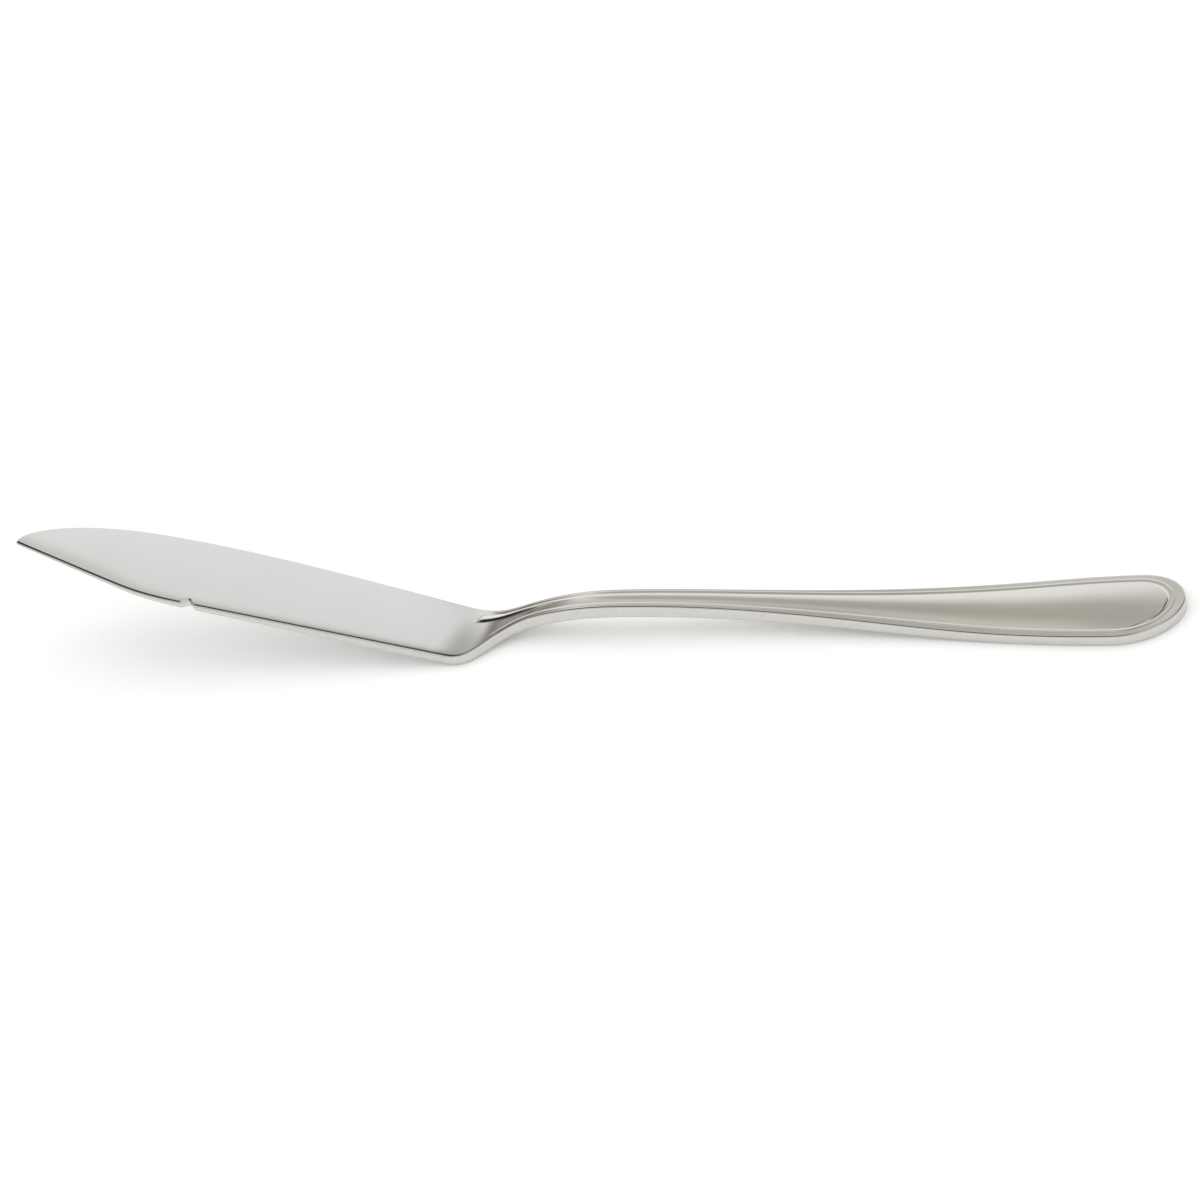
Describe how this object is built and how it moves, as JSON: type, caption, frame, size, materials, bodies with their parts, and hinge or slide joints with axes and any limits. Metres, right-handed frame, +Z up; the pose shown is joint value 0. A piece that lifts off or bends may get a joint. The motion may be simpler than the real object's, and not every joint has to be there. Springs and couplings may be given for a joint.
{
  "type": "fish knife",
  "caption": "Polished steel fish knife with a broad pointed blade, a small notch in its edge, a bent heel, a slim arched neck and a tapering, rimmed handle with a round butt.",
  "frame": {"origin": "on the table under the middle of the knife's bounding box, with the knife at rest on its heel and butt", "axes": "+X along the knife from tip to butt, +Y across it towards the plain edge of the blade, +Z up"},
  "size_m": [0.207, 0.0217, 0.0197],
  "materials": {
    "blade_steel": "satin-polished stainless steel",
    "handle_steel": "mirror-polished stainless steel"
  },
  "bodies": {
    "root": {"blade": "blade_steel", "neck": "handle_steel", "handle": "handle_steel"}
  },
  "joints": []
}
